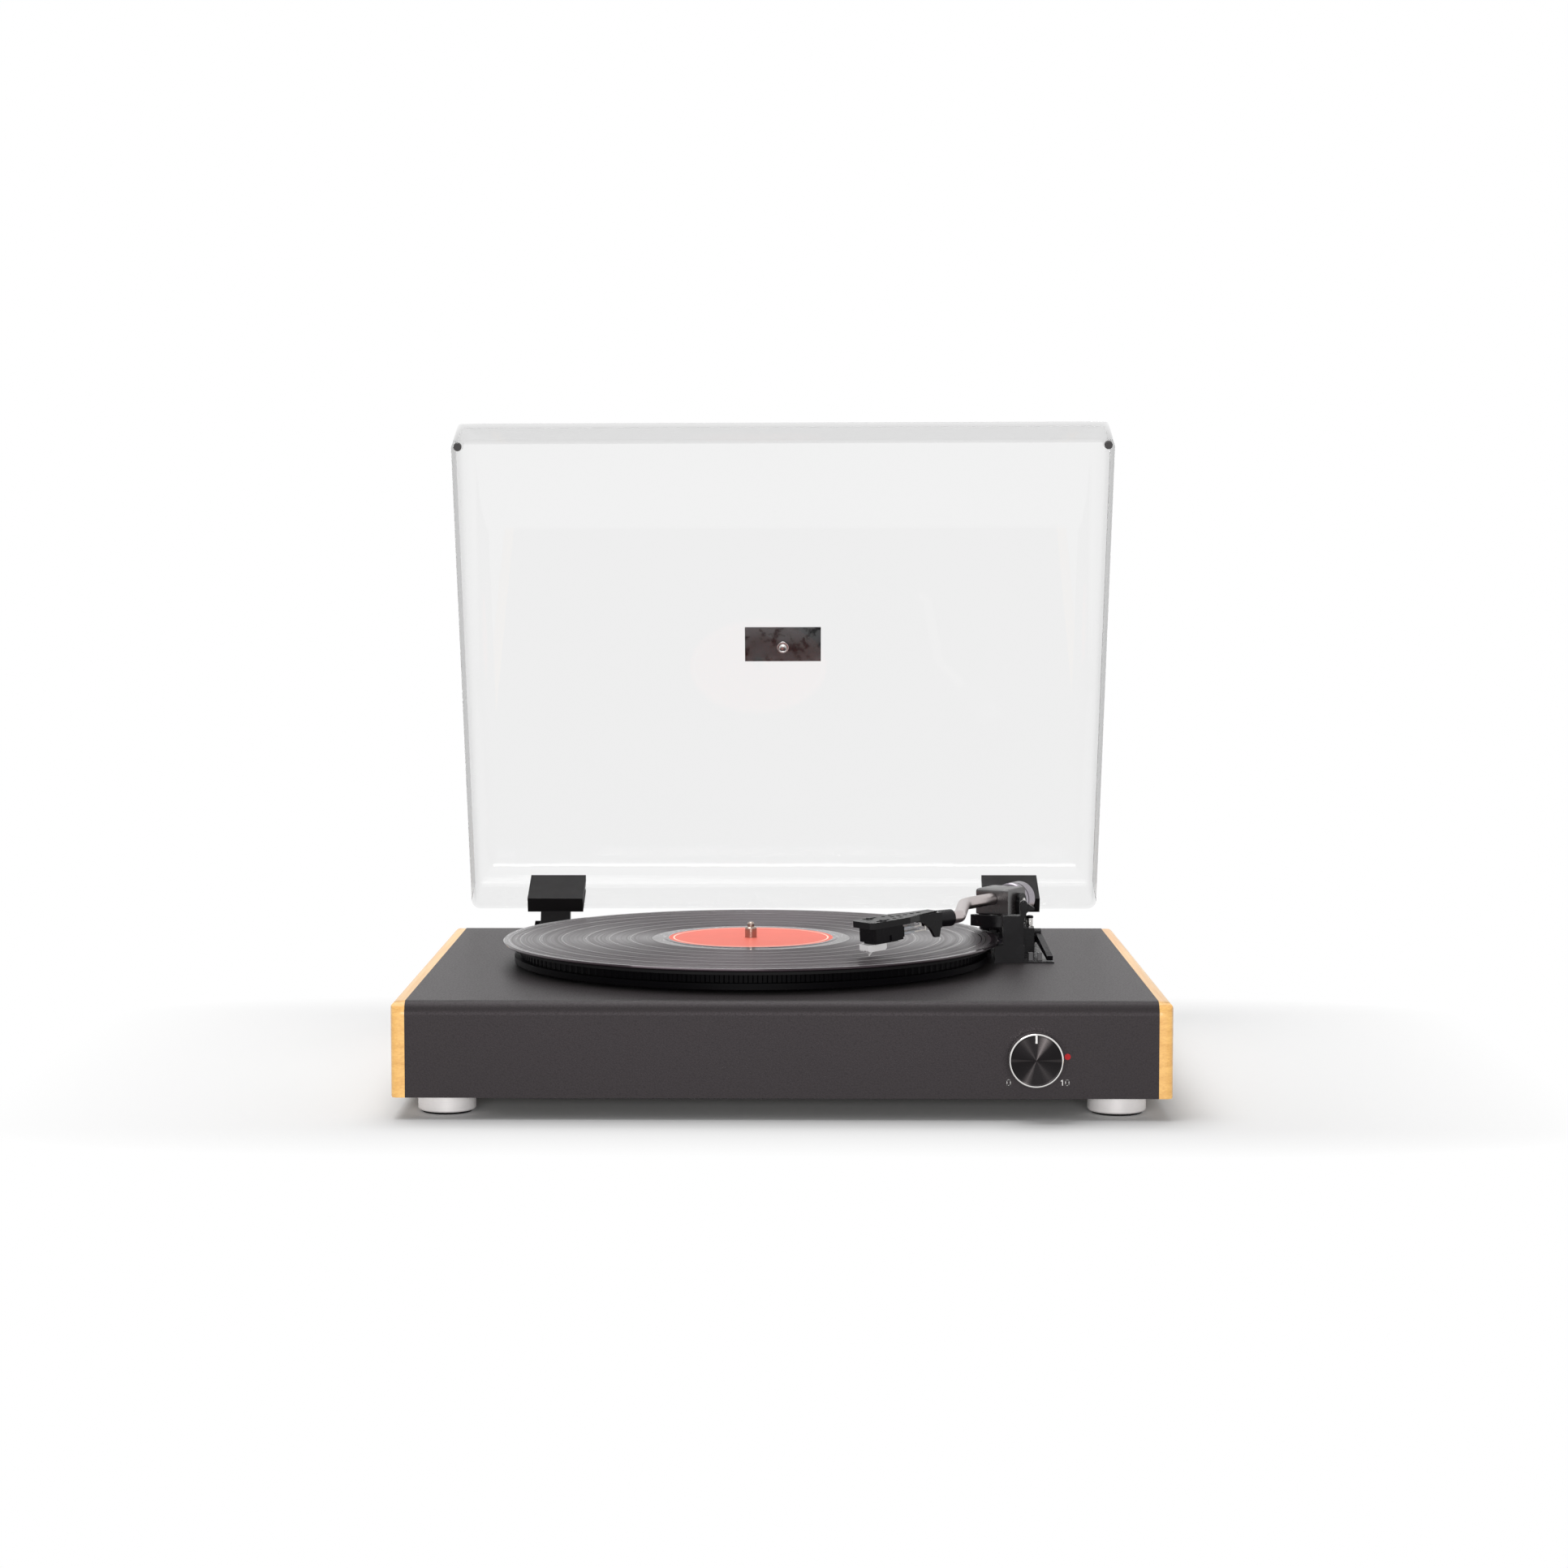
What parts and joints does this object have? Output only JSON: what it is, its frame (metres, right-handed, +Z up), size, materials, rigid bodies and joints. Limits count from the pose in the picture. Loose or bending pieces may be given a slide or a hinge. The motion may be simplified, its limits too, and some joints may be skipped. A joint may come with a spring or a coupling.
{
  "type": "record player",
  "caption": "Belt-drive record player with black wrapped plinth, wooden cheeks, S-shaped tonearm, a record with a coral label and an open clear dust cover on friction hinges.",
  "frame": {"origin": "centre of the whole footprint with the dust cover open, on the table under the feet", "axes": "+X to the right seen from the front, +Y to the back, +Z up along the record spindle"},
  "size_m": [0.436, 0.4184, 0.3972],
  "materials": {
    "black_wrap": "fine leatherette grain over board, satin",
    "board": "black painted hardboard",
    "wood": "warm honey-coloured veneer, satin",
    "inner_wood": "raw softwood",
    "satin_metal": "satin, slightly warm silver",
    "steel": "bright",
    "chrome": "polished",
    "brass": "machined",
    "motor_can": "plain pressed metal",
    "black_metal": "semi-gloss black",
    "black_plastic": "semi-gloss black",
    "hinge_black": "moulded black",
    "rubber": "matt",
    "vinyl": "grooved vinyl with a circular sheen",
    "label": "coral paper, unprinted",
    "clear": "clear acrylic with a faint grey tint",
    "dark_plate": "bare dark plate",
    "knob_black": "spun black with a radial sheen",
    "white_paint": "flat white",
    "white_plastic": "off-white",
    "switch_grey": "light grey",
    "red_plastic": "red",
    "lamp": "unlit lens",
    "circuit_board": "green solder mask",
    "wire": "thin sleeved leads"
  },
  "bodies": {
    "base": {"plinth_shell": "black_wrap", "left_cheek": "wood", "right_cheek": "wood", "rear_panel": "black_wrap", "bottom_cover": "board", "corner_blocks": "inner_wood", "feet": "satin_metal", "foot_pads": "rubber", "foot_screws": "steel", "cover_screws": "steel", "bearing_bush": "brass", "motor": "motor_can", "motor_screws": "steel", "motor_grommets": "rubber", "drive_belt": "rubber", "arm_base": "black_plastic", "base_nut": "brass", "armrest": "black_plastic", "lift_screw": "steel", "hinge_brackets": "black_plastic", "hinge_pins": "steel", "hinge_screws": "steel", "volume_pot": "motor_can", "power_led": "lamp", "main_board": "circuit_board", "terminal_plate": "black_plastic", "line_jacks": "brass", "speaker_clips": "red_plastic", "dc_inlet": "black_plastic"},
    "platter_body": {"spindle": "chrome", "platter": "black_metal", "slip_mat": "rubber", "record": "vinyl", "record_label": "label"},
    "pulley_body": {"motor_shaft": "steel", "motor_pulley": "brass"},
    "lid_body": {"lid": "clear", "lid_plate": "dark_plate", "lid_bumpers": "rubber", "hinge_blocks": "hinge_black"},
    "knob_body": {"volume_knob": "knob_black", "knob_ring": "chrome", "knob_marker": "white_paint", "pot_shaft": "steel"},
    "yoke_body": {"arm_yoke": "black_metal", "pivot_screws": "steel"},
    "tonearm_body": {"pivot_block": "black_plastic", "arm_tube": "satin_metal", "headshell": "black_metal", "head_screws": "steel", "cartridge": "black_plastic", "stylus_unit": "white_plastic", "lead_wires": "wire", "weight_shaft": "steel"},
    "weight_body": {"counterweight": "satin_metal"},
    "cue_body": {"cue_lever": "black_plastic"},
    "lift_body": {"lift_platform": "black_plastic"},
    "clip_body": {"arm_clip": "black_plastic"},
    "speed_body": {"speed_slider": "switch_grey"},
    "stop_body": {"stop_slider": "switch_grey"}
  },
  "joints": [
    {"name": "platter_spin", "type": "hinge", "parent": "base", "child": "platter_body", "pos_m": [-0.019, -0.0167, 0.0665], "axis": [0, 0, -1], "continuous": true},
    {"name": "pulley_spin", "type": "hinge", "parent": "base", "child": "pulley_body", "pos_m": [-0.10556, 0.05594, 0.0665], "axis": [0, 0, -1], "continuous": true},
    {"name": "lid_hinge", "type": "hinge", "parent": "base", "child": "lid_body", "pos_m": [0, 0.1688, 0.063], "axis": [-1, 0, 0], "range_deg": [-70, 0]},
    {"name": "volume_turn", "type": "hinge", "parent": "base", "child": "knob_body", "pos_m": [0.1411, -0.1967, 0.0357], "axis": [0, 1, 0], "range_deg": [-150, 150]},
    {"name": "arm_swing", "type": "hinge", "parent": "base", "child": "yoke_body", "pos_m": [0.138, 0.0433, 0.0995], "axis": [0, 0, -1], "range_deg": [-26, 22]},
    {"name": "arm_lift", "type": "hinge", "parent": "yoke_body", "child": "tonearm_body", "pos_m": [0.138, 0.0433, 0.0975], "axis": [-0.8704, 0.4924, 0], "range_deg": [0, 3]},
    {"name": "weight_turn", "type": "hinge", "parent": "tonearm_body", "child": "weight_body", "pos_m": [0.138, 0.0433, 0.0964], "axis": [-0.4924, -0.8704, 0], "range_deg": [-180, 180]},
    {"name": "cue_turn", "type": "hinge", "parent": "base", "child": "cue_body", "pos_m": [0.1566, 0.02533, 0.0773], "axis": [-1, 0, 0], "range_deg": [0, 45]},
    {"name": "platform_lift", "type": "slide", "parent": "base", "child": "lift_body", "axis": [0, 0, 1], "range_m": [0, 0.005]},
    {"name": "clip_turn", "type": "hinge", "parent": "base", "child": "clip_body", "pos_m": [0.1466, -0.0222, 0.1021], "axis": [0, -1, 0], "range_deg": [0, 178]},
    {"name": "speed_slide", "type": "slide", "parent": "base", "child": "speed_body", "axis": [0, 1, 0], "range_m": [0, 0.005]},
    {"name": "stop_slide", "type": "slide", "parent": "base", "child": "stop_body", "axis": [0, 1, 0], "range_m": [0, 0.005]}
  ],
  "couplings": [
    {"joint": "pulley_spin", "follows": "platter_spin", "ratio": 14.154},
    {"joint": "platform_lift", "follows": "cue_turn", "m_per_rad": 0.0063662}
  ]
}
